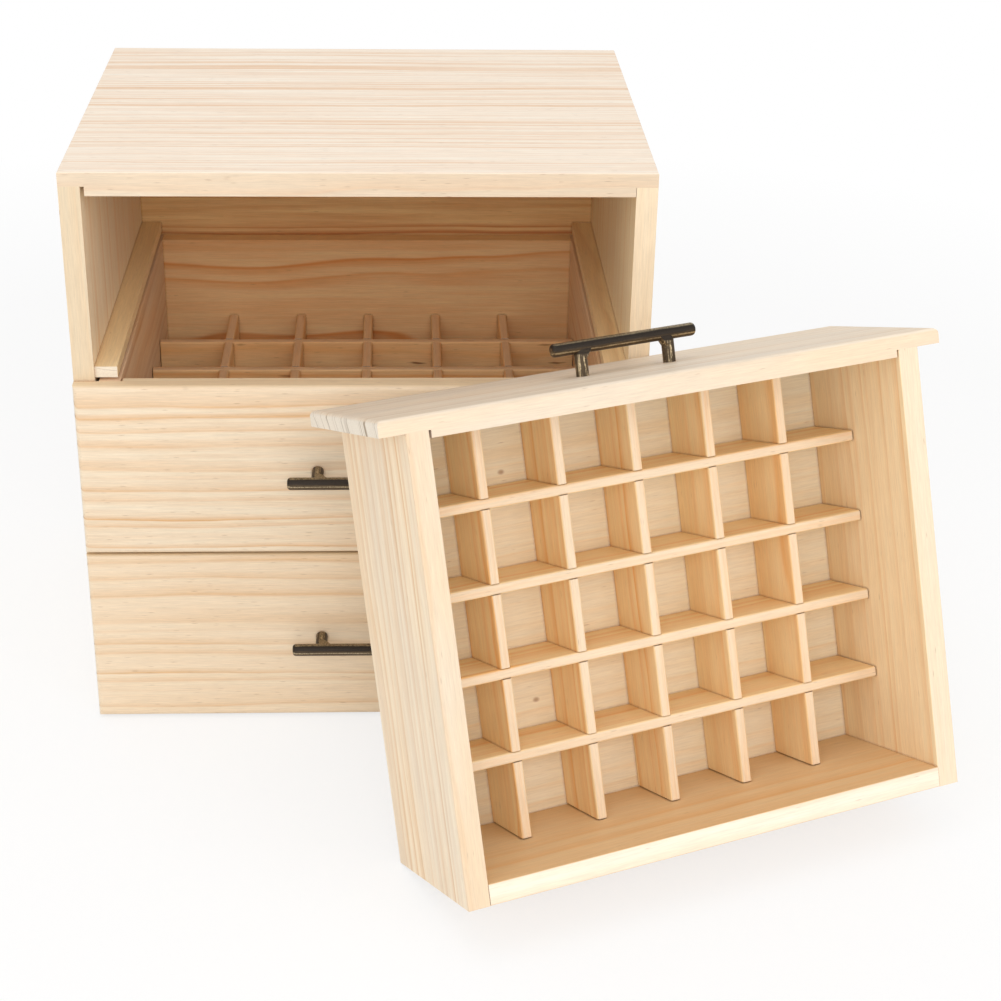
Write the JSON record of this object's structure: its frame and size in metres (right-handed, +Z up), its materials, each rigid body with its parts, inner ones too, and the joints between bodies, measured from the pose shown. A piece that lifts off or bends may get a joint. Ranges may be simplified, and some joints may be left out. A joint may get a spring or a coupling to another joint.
{
  "type": "essential oil storage box",
  "caption": "Bare pine chest of stacked drawers for small bottles, with a lattice of cells in each drawer and round bar handles; the upper drawer is out and leans on the front.",
  "frame": {"origin": "middle of the chest's underside, on the surface that it stands on", "axes": "+Z up, +X to the right as seen from the front, -Y towards the front, the way the drawers open"},
  "size_m": [0.4251, 0.4324, 0.2945],
  "materials": {
    "pine": "bare planed pine with a fine grain and small knots",
    "antique_bronze": "dark antique bronze, worn bright along the edges",
    "steel": "zinc plated"
  },
  "bodies": {
    "chest": {"chest_top_panel": "pine", "chest_left_side": "pine", "chest_right_side": "pine", "chest_back_panel": "pine", "chest_base_board": "pine", "chest_middle_left_runner": "pine", "chest_middle_right_runner": "pine", "chest_upper_left_runner": "pine", "chest_upper_right_runner": "pine"},
    "lower_drawer": {"lower_drawer_front_panel": "pine", "lower_drawer_left_side": "pine", "lower_drawer_right_side": "pine", "lower_drawer_rear_panel": "pine", "lower_drawer_bottom_panel": "pine", "lower_drawer_long_divider_1": "pine", "lower_drawer_long_divider_2": "pine", "lower_drawer_long_divider_3": "pine", "lower_drawer_long_divider_4": "pine", "lower_drawer_cross_divider_1": "pine", "lower_drawer_cross_divider_2": "pine", "lower_drawer_cross_divider_3": "pine", "lower_drawer_cross_divider_4": "pine", "lower_drawer_cross_divider_5": "pine", "lower_drawer_handle": "antique_bronze", "lower_drawer_handle_screws": "steel"},
    "middle_drawer": {"middle_drawer_front_panel": "pine", "middle_drawer_left_side": "pine", "middle_drawer_right_side": "pine", "middle_drawer_rear_panel": "pine", "middle_drawer_bottom_panel": "pine", "middle_drawer_long_divider_1": "pine", "middle_drawer_long_divider_2": "pine", "middle_drawer_long_divider_3": "pine", "middle_drawer_long_divider_4": "pine", "middle_drawer_cross_divider_1": "pine", "middle_drawer_cross_divider_2": "pine", "middle_drawer_cross_divider_3": "pine", "middle_drawer_cross_divider_4": "pine", "middle_drawer_cross_divider_5": "pine", "middle_drawer_handle": "antique_bronze", "middle_drawer_handle_screws": "steel"},
    "upper_drawer": {"upper_drawer_front_panel": "pine", "upper_drawer_left_side": "pine", "upper_drawer_right_side": "pine", "upper_drawer_rear_panel": "pine", "upper_drawer_bottom_panel": "pine", "upper_drawer_long_divider_1": "pine", "upper_drawer_long_divider_2": "pine", "upper_drawer_long_divider_3": "pine", "upper_drawer_long_divider_4": "pine", "upper_drawer_cross_divider_1": "pine", "upper_drawer_cross_divider_2": "pine", "upper_drawer_cross_divider_3": "pine", "upper_drawer_cross_divider_4": "pine", "upper_drawer_cross_divider_5": "pine", "upper_drawer_handle": "antique_bronze", "upper_drawer_handle_screws": "steel"}
  },
  "joints": [
    {"name": "lower_drawer_slide", "type": "slide", "parent": "chest", "child": "lower_drawer", "axis": [0, -1, 0], "range_m": [0, 0.12]},
    {"name": "middle_drawer_slide", "type": "slide", "parent": "chest", "child": "middle_drawer", "axis": [0, -1, 0], "range_m": [0, 0.12]},
    {"name": "upper_drawer_shift", "type": "slide", "parent": "middle_drawer", "child": "upper_drawer", "axis": [0, -1, 0], "range_m": [0, 0.08]}
  ],
  "couplings": [
    {"joint": "upper_drawer_shift", "follows": "lower_drawer_slide", "ratio": 0.66}
  ]
}
